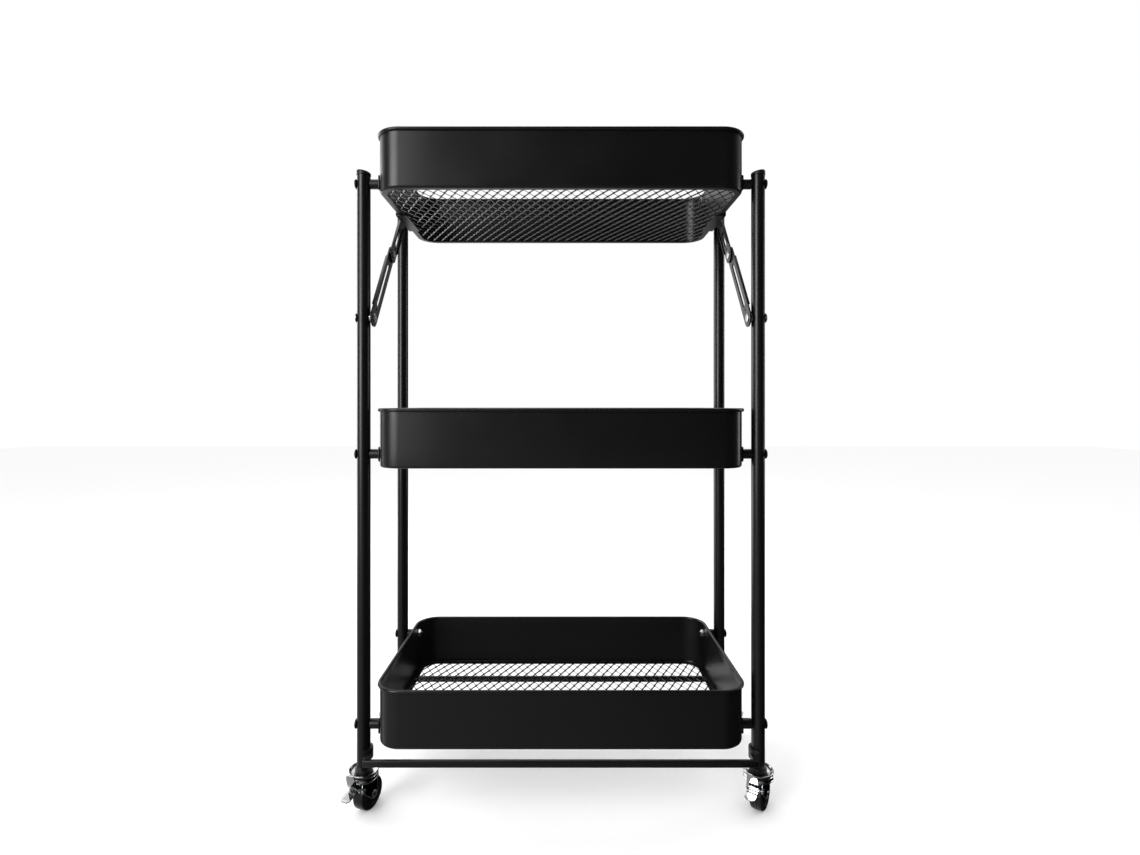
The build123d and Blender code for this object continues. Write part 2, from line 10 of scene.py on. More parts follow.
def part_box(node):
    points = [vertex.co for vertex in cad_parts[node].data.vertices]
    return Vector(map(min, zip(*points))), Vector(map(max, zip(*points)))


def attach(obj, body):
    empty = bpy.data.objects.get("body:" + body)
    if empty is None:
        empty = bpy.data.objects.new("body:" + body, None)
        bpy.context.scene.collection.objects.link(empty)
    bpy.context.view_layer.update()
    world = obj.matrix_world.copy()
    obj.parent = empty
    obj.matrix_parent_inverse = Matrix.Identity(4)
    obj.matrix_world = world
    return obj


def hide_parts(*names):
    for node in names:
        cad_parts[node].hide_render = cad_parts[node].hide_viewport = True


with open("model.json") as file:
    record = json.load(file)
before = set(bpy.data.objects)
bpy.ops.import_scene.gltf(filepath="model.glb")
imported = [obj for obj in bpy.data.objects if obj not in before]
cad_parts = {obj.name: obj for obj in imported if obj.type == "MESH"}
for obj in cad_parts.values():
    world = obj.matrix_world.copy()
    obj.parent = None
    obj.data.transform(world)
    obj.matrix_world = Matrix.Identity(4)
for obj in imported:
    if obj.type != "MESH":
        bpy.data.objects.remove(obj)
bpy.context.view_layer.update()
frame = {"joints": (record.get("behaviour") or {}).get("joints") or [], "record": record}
MM = 0.001

# ---------------------------------------------------------------- places and sizes read from the frame
SIDES = {"left": -1, "right": 1}
ENDS = {"front": -1, "rear": 1}
TRAYS = ("bottom_tray", "middle_tray", "top_tray")
JOINTS = {joint["name"]: joint for joint in frame["joints"]}
PIVOT_HEIGHT = {"front": 14 * MM, "rear": 53 * MM}
SHELL_LOW, SHELL_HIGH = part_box("top_tray_shell")
RIM_RADIUS, RIM_STAND_OFF = 2 * MM, 0.5 * MM
RIM_PROUD = RIM_RADIUS + RIM_STAND_OFF
TRAY_HALF_X = SHELL_HIGH.x - RIM_PROUD
TRAY_HALF_Y = SHELL_HIGH.y - RIM_PROUD
TRAY_HEIGHT = SHELL_HIGH.z - SHELL_LOW.z
TRAY_CORNER = 27 * MM
SHEET, FLANGE, BEND = 1 * MM, 8 * MM, 3 * MM
MESH_SHORT, MESH_LONG = 11.9 * MM, 22.5 * MM
POST_LOW, POST_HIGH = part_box("front_post_right")
POST_X = (POST_LOW.x + POST_HIGH.x) / 2
POST_RADIUS = (POST_HIGH.x - POST_LOW.x) / 2
POST_Y = {end: sum(corner.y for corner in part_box(f"{end}_post_right")) / 2 for end in ENDS}
POST_TOP = {end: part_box(f"{end}_post_right")[1].z for end in ENDS}
POST_BOTTOM = POST_LOW.z


def floor_of(tray):
    """The height of a tray's underside."""
    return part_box(f"{tray}_shell")[0].z


# ---------------------------------------------------------------- camera, floor and light
def add_camera():
    data = bpy.data.cameras.new("camera")
    data.lens = 18.686
    data.sensor_width = 36
    data.shift_x = 0.008
    data.shift_y = -0.0189
    data.clip_start = 0.01
    camera = bpy.data.objects.new("camera", data)
    camera.location = (0, -0.756, 0.4605)
    camera.rotation_euler = (pi / 2, 0, 0)
    bpy.context.scene.collection.objects.link(camera)
    bpy.context.scene.camera = camera


def area_light(name, place, target, size, power):
    data = bpy.data.lights.new(name, "AREA")
    data.shape = "RECTANGLE"
    data.size, data.size_y = size
    data.energy = power
    light = bpy.data.objects.new(name, data)
    light.location = place
    light.rotation_euler = (Vector(target) - Vector(place)).to_track_quat("-Z", "Y").to_euler()
    light.visible_camera = False
    bpy.context.scene.collection.objects.link(light)


def add_studio_world():
    """White all round for soft light; mirrored, a white sweep behind and to the left and a dim room in front."""
    world = bpy.data.worlds.new("studio")
    world.use_nodes = True
    tree = world.node_tree
    background = tree.nodes["Background"]

    def link(source, socket):
        if isinstance(source, (int, float)):
            socket.default_value = source
        else:
            tree.links.new(source, socket)

    def math(operation, first, second):
        node = tree.nodes.new("ShaderNodeMath")
        node.operation = operation
        link(first, node.inputs[0])
        link(second, node.inputs[1])
        return node.outputs[0]

    def ramp(value, start, end):
        node = tree.nodes.new("ShaderNodeMapRange")
        node.interpolation_type = "SMOOTHSTEP"
        link(value, node.inputs["Value"])
        link(start, node.inputs["From Min"])
        link(end, node.inputs["From Max"])
        return node.outputs["Result"]

    split = tree.nodes.new("ShaderNodeSeparateXYZ")
    tree.links.new(tree.nodes.new("ShaderNodeTexCoord").outputs["Generated"], split.inputs[0])
    across, depth, rise = split.outputs
    leftward = ramp(math("MULTIPLY", across, -1), -0.6, 0.5)
    behind = ramp(depth, -0.15, 0.45)
    sweep = math("MULTIPLY", math("MAXIMUM", leftward, ramp(rise, 0.35, 0.5)), 0.95)
    room = math("MULTIPLY", math("MULTIPLY", leftward, ramp(math("MULTIPLY", rise, -1), 0, 0.3)), 0.3)
    mirrored = math("ADD", math("MULTIPLY", sweep, behind),
                    math("MULTIPLY", room, math("SUBTRACT", 1, behind)))
    glossy = tree.nodes.new("ShaderNodeLightPath").outputs["Is Glossy Ray"]
    strength = math("ADD", math("MULTIPLY", mirrored, glossy), math("SUBTRACT", 1, glossy))
    background.inputs["Color"].default_value = (1, 1, 1, 1)
    tree.links.new(strength, background.inputs["Strength"])
    bpy.context.scene.world = world


def add_stage():
    """A plain pale floor and white surround that light the cart softly but aren't mirrored in its gloss."""
    mesh = bpy.data.meshes.new("floor")
    half = 6.0
    mesh.from_pydata([(-half, -half, 0), (half, -half, 0), (half, half, 0), (-half, half, 0)], [], [(0, 1, 2, 3)])
    floor = bpy.data.objects.new("floor", mesh)
    bpy.context.scene.collection.objects.link(floor)
    floor.visible_glossy = False
    material = bpy.data.materials.new("stage_floor")
    material.use_nodes = True
    shader = material.node_tree.nodes["Principled BSDF"]
    shader.inputs["Base Color"].default_value = (0.95, 0.95, 0.95, 1)
    shader.inputs["Roughness"].default_value = 1
    shader.inputs["Specular IOR Level"].default_value = 0
    mesh.materials.append(material)

    add_studio_world()
    middle = (0, 0, 0.42)
    area_light("key_front_left", (-1.3, -1.5, 1.0), middle, (1.0, 1.6), 30)
    area_light("side_left", (-1.6, 1.0, 0.6), middle, (1.2, 1.6), 14)
    area_light("side_right", (1.9, 0.5, 0.7), middle, (0.35, 1.2), 4)
    area_light("top", (-0.3, 0.3, 2.2), middle, (1.2, 0.9), 9)
    bpy.context.scene.view_settings.view_transform = "Standard"


# ---------------------------------------------------------------- materials
def node_material(name, color, metallic, roughness):
    """A principled material, with its tree's helpers for noise and ramps."""
    material = bpy.data.materials.new(name)
    material.use_nodes = True
    tree = material.node_tree
    shader = tree.nodes["Principled BSDF"]
    shader.inputs["Base Color"].default_value = (*color, 1)
    shader.inputs["Metallic"].default_value = metallic
    shader.inputs["Roughness"].default_value = roughness
    return material, tree, shader


def noise(tree, scale, detail=2.0, stretch=None):
    texture = tree.nodes.new("ShaderNodeTexNoise")
    texture.inputs["Scale"].default_value = scale
    texture.inputs["Detail"].default_value = detail
    place = tree.nodes.new("ShaderNodeTexCoord")
    if stretch:
        mapping = tree.nodes.new("ShaderNodeMapping")
        mapping.inputs["Scale"].default_value = stretch
        tree.links.new(place.outputs["Object"], mapping.inputs["Vector"])
        tree.links.new(mapping.outputs["Vector"], texture.inputs["Vector"])
    else:
        tree.links.new(place.outputs["Object"], texture.inputs["Vector"])
    return texture.outputs["Fac"]


def spread(tree, value, low, high, start=0.3, end=0.7):
    """Map a 0..1 value from start..end onto low..high."""
    remap = tree.nodes.new("ShaderNodeMapRange")
    remap.inputs["From Min"].default_value = start
    remap.inputs["From Max"].default_value = end
    remap.inputs["To Min"].default_value = low
    remap.inputs["To Max"].default_value = high
    tree.links.new(value, remap.inputs["Value"])
    return remap.outputs["Result"]


def mix_colors(tree, factor, first, second):
    mix = tree.nodes.new("ShaderNodeMix")
    mix.data_type = "RGBA"
    mix.inputs["A"].default_value = (*first, 1)
    mix.inputs["B"].default_value = (*second, 1)
    tree.links.new(factor, mix.inputs["Factor"])
    return mix.outputs["Result"]


def add_bump(tree, shader, heights, distance):
    """Chain several noise heights, each with its strength, into the shader's normal."""
    normal = None
    for height, strength in heights:
        bump = tree.nodes.new("ShaderNodeBump")
        bump.inputs["Strength"].default_value = strength
        bump.inputs["Distance"].default_value = distance
        tree.links.new(height, bump.inputs["Height"])
        if normal:
            tree.links.new(normal, bump.inputs["Normal"])
        normal = bump.outputs["Normal"]
    tree.links.new(normal, shader.inputs["Normal"])


def edge_wear(tree, start=0.53, end=0.6):
    """High on convex edges, broken up by noise."""
    geometry = tree.nodes.new("ShaderNodeNewGeometry")
    edges = spread(tree, geometry.outputs["Pointiness"], 0, 1, start, end)
    broken = tree.nodes.new("ShaderNodeMath")
    broken.operation = "MULTIPLY"
    tree.links.new(edges, broken.inputs[0])
    tree.links.new(spread(tree, noise(tree, 140, 4), 0, 0.5, 0.45, 0.75), broken.inputs[1])
    return broken.outputs["Value"]


def powder_coat(name, dark, light, roughness):
    """Black powder-coated steel: orange-peel bump, cloudy roughness, slight polish along edges."""
    material, tree, shader = node_material(name, dark, 0.0, roughness)
    tree.links.new(mix_colors(tree, edge_wear(tree), dark, light), shader.inputs["Base Color"])
    tree.links.new(spread(tree, noise(tree, 9, 5), roughness - 0.05, roughness + 0.07), shader.inputs["Roughness"])
    shader.inputs["Coat Weight"].default_value = 0.1
    shader.inputs["Coat Roughness"].default_value = 0.22
    add_bump(tree, shader, [(noise(tree, 950, 2), 0.12), (noise(tree, 2600, 1), 0.06)], 0.0002)
    return material


def plated_metal(name, color, roughness, brushing):
    """Bright plated metal with faint smears and fine scratches."""
    material, tree, shader = node_material(name, color, 1.0, roughness)
    duller = tuple(value * 0.86 for value in color)
    tree.links.new(mix_colors(tree, spread(tree, noise(tree, 60, 5), 0, 1), color, duller),
                   shader.inputs["Base Color"])
    tree.links.new(spread(tree, noise(tree, 120, 6), roughness * 0.7, roughness * 1.6), shader.inputs["Roughness"])
    add_bump(tree, shader, [(noise(tree, 700, 3, (1, 1, 8)), brushing)], 0.0001)
    return material


def moulded_plastic(name, color, roughness, grain):
    """Black moulded plastic with a fine spark-eroded grain and scuffed edges."""
    material, tree, shader = node_material(name, color, 0.0, roughness)
    lighter = tuple(min(1, value * 3.2 + 0.01) for value in color)
    tree.links.new(mix_colors(tree, edge_wear(tree, 0.52, 0.62), color, lighter), shader.inputs["Base Color"])
    tree.links.new(spread(tree, noise(tree, 40, 4), roughness - 0.06, roughness + 0.1), shader.inputs["Roughness"])
    add_bump(tree, shader, [(noise(tree, 3200, 2), grain)], 0.00015)
    return material


# ---------------------------------------------------------------- mesh helpers
def finish_piece(name, mesh, material, body, nodes=(), smooth=35):
    """Link a mesh as a piece that rides on a body and stands for CAD nodes."""
    mesh.materials.clear()
    mesh.materials.append(material)
    piece = bpy.data.objects.new(name, mesh)
    bpy.context.scene.collection.objects.link(piece)
    if smooth:
        mesh.shade_smooth()
        bm = bmesh.new()
        bm.from_mesh(mesh)
        limit = radians(smooth)
        for edge in bm.edges:
            if len(edge.link_faces) != 2 or edge.calc_face_angle(0) > limit:
                edge.smooth = False
        bm.to_mesh(mesh)
        bm.free()
    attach(piece, body)
    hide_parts(*nodes)
    return piece


def mesh_from(name, bm, weld=True):
    if weld:
        bmesh.ops.remove_doubles(bm, verts=bm.verts, dist=1e-6)
    bmesh.ops.recalc_face_normals(bm, faces=bm.faces)
    mesh = bpy.data.meshes.new(name)
    bm.to_mesh(mesh)
    bm.free()
    return mesh


def arc(centre, radius, start, end, steps):
    """Points on an arc in a plane, with the angles in degrees."""
    angles = [radians(start + (end - start) * i / steps) for i in range(steps + 1)]
    return [(centre[0] + radius * cos(a), centre[1] + radius * sin(a)) for a in angles]


def placed(origin, axis, across=None):
    """A matrix whose local z is axis and whose local x is as near to across as it can be."""
    z = Vector(axis).normalized()
    guide = Vector(across) if across else (Vector((0, 0, 1)) if abs(z.z) < 0.9 else Vector((0, 1, 0)))
    x = (guide - z * guide.dot(z)).normalized()
    y = z.cross(x)
    matrix = Matrix((x, y, z)).transposed().to_4x4()
    matrix.translation = Vector(origin)
    return matrix


def lathe(bm, profile, matrix, segments=48):
    """Turn a profile of (radius, height) about the matrix's z. Points at radius 0 close the ends."""
    rings = []
    for radius, height in profile:
        if radius < 1e-7:
            rings.append([bm.verts.new(matrix @ Vector((0, 0, height)))])
            continue
        ring = []
        for i in range(segments):
            a = 2 * pi * i / segments
            ring.append(bm.verts.new(matrix @ Vector((radius * cos(a), radius * sin(a), height))))
        rings.append(ring)
    for low, high in zip(rings, rings[1:]):
        for i in range(segments):
            j = (i + 1) % segments
            if len(low) == 1 and len(high) == 1:
                continue
            if len(low) == 1:
                bm.faces.new((low[0], high[i], high[j]))
            elif len(high) == 1:
                bm.faces.new((low[i], low[j], high[0]))
            else:
                bm.faces.new((low[i], low[j], high[j], high[i]))


def plate(bm, outline, holes, thickness, bevel, matrix, resolution=2):
    """A flat plate with rounded edges from closed outlines, its mid-plane on the matrix's xy plane."""
    curve = bpy.data.curves.new("plate", "CURVE")
    curve.dimensions = "2D"
    curve.fill_mode = "BOTH"
    curve.extrude = thickness / 2 - bevel
    curve.bevel_depth = bevel
    curve.bevel_resolution = resolution
    curve.offset = -bevel
    for points in [outline, *holes]:
        spline = curve.splines.new("POLY")
        spline.points.add(len(points) - 1)
        for point, (x, y) in zip(spline.points, points):
            point.co = (x, y, 0, 1)
        spline.use_cyclic_u = True
    holder = bpy.data.objects.new("plate", curve)
    mesh = bpy.data.meshes.new_from_object(holder)
    mesh.transform(matrix)
    bm.from_mesh(mesh)
    bpy.data.objects.remove(holder)
    bpy.data.curves.remove(curve)
    bpy.data.meshes.remove(mesh)


def circle(centre, radius, steps=32):
    return arc(centre, radius, 0, 360, steps)[:-1]


def slot_outline(x0, x1, radius, steps=16):
    """A round-ended slot along x from the centre of one end to that of the other."""
    return arc((x1, 0), radius, -90, 90, steps) + arc((x0, 0), radius, 90, 270, steps)


def rounded_box(half_x, half_y, radius, steps=6):
    points = []
    for cx, cy, start in ((1, -1, -90), (1, 1, 0), (-1, 1, 90), (-1, -1, 180)):
        points += arc((cx * (half_x - radius), cy * (half_y - radius)), radius, start, start + 90, steps)
    return points


# ---------------------------------------------------------------- trays
def tray_ring(steps=14, straight=10):
    """Points and outward normals round a tray's outer wall, seen from above."""
    ring = []
    flat_x, flat_y = TRAY_HALF_X - TRAY_CORNER, TRAY_HALF_Y - TRAY_CORNER
    corners = ((1, -1, -90), (1, 1, 0), (-1, 1, 90), (-1, -1, 180))
    for index, (cx, cy, start) in enumerate(corners):
        centre = (cx * flat_x, cy * flat_y)
        for i in range(steps + 1):
            a = radians(start + 90 * i / steps)
            normal = (cos(a), sin(a))
            ring.append(((centre[0] + TRAY_CORNER * normal[0], centre[1] + TRAY_CORNER * normal[1]), normal))
        end_point, normal = ring[-1]
        next_x, next_y, _ = corners[(index + 1) % 4]
        next_point = (next_x * flat_x + TRAY_CORNER * normal[0], next_y * flat_y + TRAY_CORNER * normal[1])
        for i in range(1, straight):
            share = i / straight
            ring.append(((end_point[0] + (next_point[0] - end_point[0]) * share,
                          end_point[1] + (next_point[1] - end_point[1]) * share), normal))
    return ring


def tray_profile():
    """The sheet's section as (offset from the outer wall, height), with the rim rolled outwards."""
    rim = (RIM_STAND_OFF, TRAY_HEIGHT - RIM_RADIUS)
    profile = [(-FLANGE, 0.1 * MM), (-FLANGE + 0.1 * MM, 0)]
    profile += arc((-BEND, BEND), BEND, -90, 0, 8)
    profile += [(0, TRAY_HEIGHT * share) for share in (0.3, 0.6, 0.85)]
    lip = arc(rim, RIM_RADIUS, 256, 291, 4) + arc(rim, RIM_RADIUS - 0.35 * MM, 292, 298, 2)
    profile += lip + arc(rim, RIM_RADIUS, 300, 581, 26)
    inner_bend = BEND - SHEET
    profile += [(-SHEET, TRAY_HEIGHT * share) for share in (0.85, 0.6, 0.3)]
    profile += arc((-BEND, BEND), inner_bend, 0, -90, 6)
    profile += [(-FLANGE + 0.1 * MM, SHEET), (-FLANGE, SHEET - 0.1 * MM)]
    return profile


def make_tray_shell(tray, material):
    floor_z = floor_of(tray)
    ring, profile = tray_ring(), tray_profile()
    bm = bmesh.new()
    rows = []
    for (x, y), (nx, ny) in ring:
        rows.append([bm.verts.new((x + nx * out, y + ny * out, floor_z + up)) for out, up in profile])
    for index, row in enumerate(rows):
        following = rows[(index + 1) % len(rows)]
        for i in range(len(profile)):
            j = (i + 1) % len(profile)
            bm.faces.new((row[i], following[i], following[j], row[j]))
    mesh = mesh_from(f"{tray}_pressed_shell", bm)
    finish_piece(f"{tray}_pressed_shell", mesh, material, tray, [f"{tray}_shell"], 40)


def inside_tray_floor(x, y, margin):
    """Whether a point lies within a tray's wall, less a margin."""
    half_x, half_y, radius = TRAY_HALF_X - margin, TRAY_HALF_Y - margin, TRAY_CORNER - margin
    dx, dy = abs(x) - (half_x - radius), abs(y) - (half_y - radius)
    if dx <= 0 or dy <= 0:
        return abs(x) <= half_x and abs(y) <= half_y
    return hypot(dx, dy) <= radius


def clip_strand(start, end, margin):
    """The part of a strand inside the wall, found by halving, or None."""
    inside = [inside_tray_floor(*point, margin) for point in (start, end)]
    if not any(inside):
        return None
    if all(inside):
        return start, end
    good, bad = (start, end) if inside[0] else (end, start)
    for _ in range(12):
        middle = ((good[0] + bad[0]) / 2, (good[1] + bad[1]) / 2)
        if inside_tray_floor(*middle, margin):
            good = middle
        else:
            bad = middle
    return (start, good) if inside[0] else (good, end)


def add_strand(bm, start, end, height, width, thickness, tilt):
    """A flat strand that twists from level at its ends to a tilt in between."""
    along = Vector((end[0] - start[0], end[1] - start[1], 0))
    across = Vector((-along.y, along.x, 0)).normalized()
    loops = []
    for share, twist in ((0, 0.7), (0.2, 1), (0.8, 1), (1, 0.7)):
        centre = Vector((start[0], start[1], height)) + along * share
        angle = tilt * twist
        side = across * cos(angle) + Vector((0, 0, sin(angle)))
        up = Vector((0, 0, cos(angle))) - across * sin(angle)
        loops.append([bm.verts.new(centre + side * (sx * width / 2) + up * (sz * thickness / 2))
                      for sx, sz in ((-1, -1), (1, -1), (1, 1), (-1, 1))])
    for low, high in zip(loops, loops[1:]):
        for i in range(4):
            j = (i + 1) % 4
            bm.faces.new((low[i], low[j], high[j], high[i]))
    bm.faces.new(loops[0][::-1])
    bm.faces.new(loops[-1])


def make_mesh_floor(tray, material):
    """Expanded metal: slanting strands meeting in short knuckles, clipped to the tray and framed by its edge."""
    node_low, node_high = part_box(f"{tray}_mesh")
    thickness, width = 0.5 * MM, 1.5 * MM
    height = (node_low.z + node_high.z) / 2
    tilt = radians(42)
    margin = TRAY_HALF_X - node_high.x + 0.8 * MM
    columns = ceil(TRAY_HALF_X / (MESH_SHORT / 2)) + 1
    rows = ceil(TRAY_HALF_Y / (MESH_LONG / 2)) + 1
    bm = bmesh.new()
    for row in range(-rows, rows + 1):
        for column in range(-columns, columns + 1):
            if (row + column) % 2:
                continue
            x, y = column * MESH_SHORT / 2, row * MESH_LONG / 2
            for lean in (-1, 1):
                strand = clip_strand((x, y), (x + lean * MESH_SHORT / 2, y + MESH_LONG / 2), margin)
                if strand and hypot(strand[1][0] - strand[0][0], strand[1][1] - strand[0][1]) > 0.5 * MM:
                    add_strand(bm, *strand, height, width, thickness, tilt)
            if inside_tray_floor(x, y, margin + 1.2 * MM):
                reach, half = 2.6 * MM, 0.95 * MM
                knuckle = [(x, y - reach), (x + half, y - 1 * MM), (x + half, y + 1 * MM),
                           (x, y + reach), (x - half, y + 1 * MM), (x - half, y - 1 * MM)]
                low = [bm.verts.new((kx, ky, node_low.z)) for kx, ky in knuckle]
                high = [bm.verts.new((kx, ky, node_high.z)) for kx, ky in knuckle]
                bm.faces.new(low[::-1])
                bm.faces.new(high)
                for i in range(6):
                    j = (i + 1) % 6
                    bm.faces.new((low[i], low[j], high[j], high[i]))
    edge = []
    for (px, py), (nx, ny) in tray_ring(10, 4):
        edge.append([bm.verts.new((px - nx * out, py - ny * out, z))
                     for out, z in ((margin - 0.6 * MM, node_low.z), (margin + 1.6 * MM, node_low.z),
                                    (margin + 1.6 * MM, node_high.z), (margin - 0.6 * MM, node_high.z))])
    for index, row in enumerate(edge):
        following = edge[(index + 1) % len(edge)]
        for i in range(4):
            j = (i + 1) % 4
            bm.faces.new((row[i], following[i], following[j], row[j]))
    mesh = mesh_from(f"{tray}_expanded_metal", bm, weld=False)
    finish_piece(f"{tray}_expanded_metal", mesh, material, tray, [f"{tray}_mesh"], 20)


def dome(radius, height, base=0.0, recess=None):
    """A domed head's profile from its rim to its crown, with an optional flat-bottomed recess."""
    rim = height * 0.25
    points = [(0, base), (radius * 0.96, base), (radius, base + rim * 0.3), (radius, base + rim)]
    crown = arc((0, 0), 1, 12, 90, 8)
    curve = [(radius * x, base + rim + (height - rim) * y) for x, y in crown]
    if recess:
        curve = [point for point in curve if point[0] > recess * 1.25]
        top = curve[-1][1]
        curve += [(recess * 1.1, top + 0.02 * MM), (recess, top - 0.15 * MM), (recess * 0.96, top - height * 0.5)]
        curve += [(0, top - height * 0.5)]
    return points + curve


def make_tray_hardware(tray, steel, zinc):
    """Pivot plates, spacers, domed bolts and nylon-insert lock nuts of one tray."""
    floor_z = floor_of(tray)
    plate_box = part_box(f"{tray}_pivot_plates")
    spacer_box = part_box(f"{tray}_spacers")
    bolt_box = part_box(f"{tray}_pivot_bolts")
    nut_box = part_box(f"{tray}_lock_nuts")
    plate_thickness = plate_box[1].x - TRAY_HALF_X
    plates, spacers, bolts, nuts = (bmesh.new() for _ in range(4))
    for side in SIDES.values():
        for end in ENDS:
            y, z = POST_Y[end], floor_z + PIVOT_HEIGHT[end]
            out = (side, 0, 0)
            plate(plates, rounded_box(8 * MM, 8.5 * MM, 3 * MM), [circle((0, 0), 3.1 * MM)], plate_thickness,
                  0.35 * MM, placed((side * (TRAY_HALF_X + plate_thickness / 2), y, z), out, (0, 1, 0)))
            spacer_length = spacer_box[1].x - plate_box[1].x
            radius = 5.5 * MM
            lathe(spacers, [(3.05 * MM, 0), (radius - 0.4 * MM, 0), (radius, 0.4 * MM),
                            (radius, spacer_length - 0.4 * MM), (radius - 0.4 * MM, spacer_length),
                            (3.05 * MM, spacer_length), (3.05 * MM, 0)],
                  placed((side * plate_box[1].x, y, z), out))
            head = 2.5 * MM
            head_base = bolt_box[1].x - head
            lathe(bolts, dome(radius, head, recess=2 * MM), placed((side * head_base, y, z), out))
            inner = TRAY_HALF_X - SHEET - 7 * MM
            lathe(bolts, [(0, 0), (2.5 * MM, 0), (3 * MM, 0.5 * MM),
                          (3 * MM, head_base - inner), (0, head_base - inner)],
                  placed((side * inner, y, z), out))
            nut_length = 5.2 * MM
            nut_inner = nut_box[1].x - nut_length
            hexagon = circle((0, 0), 4.5 * MM / cos(pi / 6), 6)
            plate(nuts, hexagon, [circle((0, 0), 3 * MM)], nut_length - 1.4 * MM, 0.3 * MM,
                  placed((side * (nut_inner + 1.4 * MM + (nut_length - 1.4 * MM) / 2), y, z), out))
            lathe(nuts, [(3.05 * MM, 1.6 * MM), (4.2 * MM, 1.6 * MM), (4.2 * MM, 0.4 * MM), (3.7 * MM, 0),
                         (3.05 * MM, 0.1 * MM), (3.05 * MM, 1.6 * MM)],
                  placed((side * nut_inner, y, z), out))
    for name, bm, material, slot in (("pivot_plates", plates, steel, "black_steel"),
                                     ("spacers", spacers, steel, "black_steel"),
                                     ("pivot_bolts", bolts, steel, "black_steel"),
                                     ("lock_nuts", nuts, zinc, "zinc")):
        mesh = mesh_from(f"{tray}_detailed_{name}", bm, weld=False)
        finish_piece(f"{tray}_detailed_{name}", mesh, material, tray, [f"{tray}_{name}"], 30)


# ---------------------------------------------------------------- frames
def make_post(end, side_name, material):
    side = SIDES[side_name]
    centre = (side * POST_X, POST_Y[end], 0)
    bm = bmesh.new()
    low, high = POST_BOTTOM, POST_TOP[end]
    inner = POST_RADIUS - 1 * MM
    steps = 12
    wall = [(POST_RADIUS, low + 0.4 * MM + (high - low - 0.8 * MM) * i / steps) for i in range(steps + 1)]
    profile = [(inner, low), (POST_RADIUS - 0.4 * MM, low), *wall, (POST_RADIUS - 0.4 * MM, high), (inner, high),
               (inner, low)]
    lathe(bm, profile, Matrix.Translation(centre), 56)
    mesh = mesh_from(f"{end}_tube_{side_name}", bm)
    finish_piece(f"{end}_tube_{side_name}", mesh, material, f"{end}_frame",
                 [f"{end}_post_{side_name}"], 40)


def make_caps(end, material):
    """Soft-topped plugs whose crowns slope down towards the trays and overhang the tube a little."""
    top = POST_TOP[end]
    cap_low, cap_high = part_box(f"{end}_post_caps")
    height = cap_high.z - top
    reach = cap_high.x - POST_X
    bm = bmesh.new()
    for side in SIDES.values():
        rows = []
        segments = 48
        profile = [(0.99, 0), (1, 0.05), (1, 0.6), (0.975, 0.78), (0.9, 0.9), (0.75, 0.965), (0.5, 0.99), (0.25, 1)]
        for radius, up in profile:
            row = []
            for i in range(segments):
                a = 2 * pi * i / segments
                x = reach * radius * cos(a) * side
                drop = 0.46 * up * (1 - radius * cos(a)) / 2
                row.append(bm.verts.new((side * POST_X + x, POST_Y[end] + reach * radius * sin(a),
                                         top + height * (up - drop))))
            rows.append(row)
        for low, high in zip(rows, rows[1:]):
            for i in range(segments):
                j = (i + 1) % segments
                bm.faces.new((low[i], low[j], high[j], high[i]))
        bm.faces.new(rows[-1])
        bm.faces.new(rows[0][::-1])
    mesh = mesh_from(f"{end}_moulded_caps", bm)
    finish_piece(f"{end}_moulded_caps", mesh, material, f"{end}_frame", [f"{end}_post_caps"], 50)


def make_rail(end, material):
    low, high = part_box(f"{end}_rail")
    middle = (low + high) / 2
    half_y, half_z = (high.y - low.y) / 2, (high.z - low.z) / 2
    section = rounded_box(half_y, half_z, 1.7 * MM, 5)
    bm = bmesh.new()
    stations = [(-1, 0.86), (-0.9985, 1), *[(x / 10, 1) for x in range(-9, 10)], (0.9985, 1), (1, 0.86)]
    rows = []
    for share, scale in stations:
        rows.append([bm.verts.new((middle.x + share * high.x, middle.y + y * scale, middle.z + z * scale))
                     for y, z in section])
    for first, second in zip(rows, rows[1:]):
        for i in range(len(section)):
            j = (i + 1) % len(section)
            bm.faces.new((first[i], first[j], second[j], second[i]))
    bm.faces.new(rows[0][::-1])
    bm.faces.new(rows[-1])
    mesh = mesh_from(f"{end}_cross_rail", bm)
    finish_piece(f"{end}_cross_rail", mesh, material, f"{end}_frame", [f"{end}_rail"], 50)


def make_clips(end, material):
    """The gripping half-ring round each post and the block that carries the rail."""
    low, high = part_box(f"{end}_rail_clips")
    rail_low, rail_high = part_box(f"{end}_rail")
    facing = ENDS[end]
    bm = bmesh.new()
    outer, inner = POST_RADIUS + 3 * MM, POST_RADIUS + 0.02 * MM
    for side in SIDES.values():
        centre = (side * POST_X, POST_Y[end])
        ring_outline = arc((0, 0), outer, 100, 260, 24) + arc((0, 0), inner, 258, 102, 24)
        if side < 0:
            ring_outline = [(-x, y) for x, y in ring_outline]
        plate(bm, ring_outline, [], high.z - low.z, 0.5 * MM,
              Matrix.Translation((centre[0], centre[1], (low.z + high.z) / 2)))
        reach = abs(rail_low.y if facing < 0 else rail_high.y) - abs(POST_Y[end]) - (rail_high.y - rail_low.y)
        block = rounded_box(POST_RADIUS / 2 - 0.2 * MM, (reach - POST_RADIUS + 1 * MM) / 2, 0.8 * MM, 3)
        plate(bm, block, [], rail_high.z - rail_low.z, 0.5 * MM,
              Matrix.Translation((centre[0] - side * POST_RADIUS,
                                  centre[1] + facing * (reach + POST_RADIUS - 1 * MM) / 2,
                                   (rail_low.z + rail_high.z) / 2)))
    mesh = mesh_from(f"{end}_moulded_clips", bm, weld=False)
    finish_piece(f"{end}_moulded_clips", mesh, material, f"{end}_frame", [f"{end}_rail_clips"], 40)


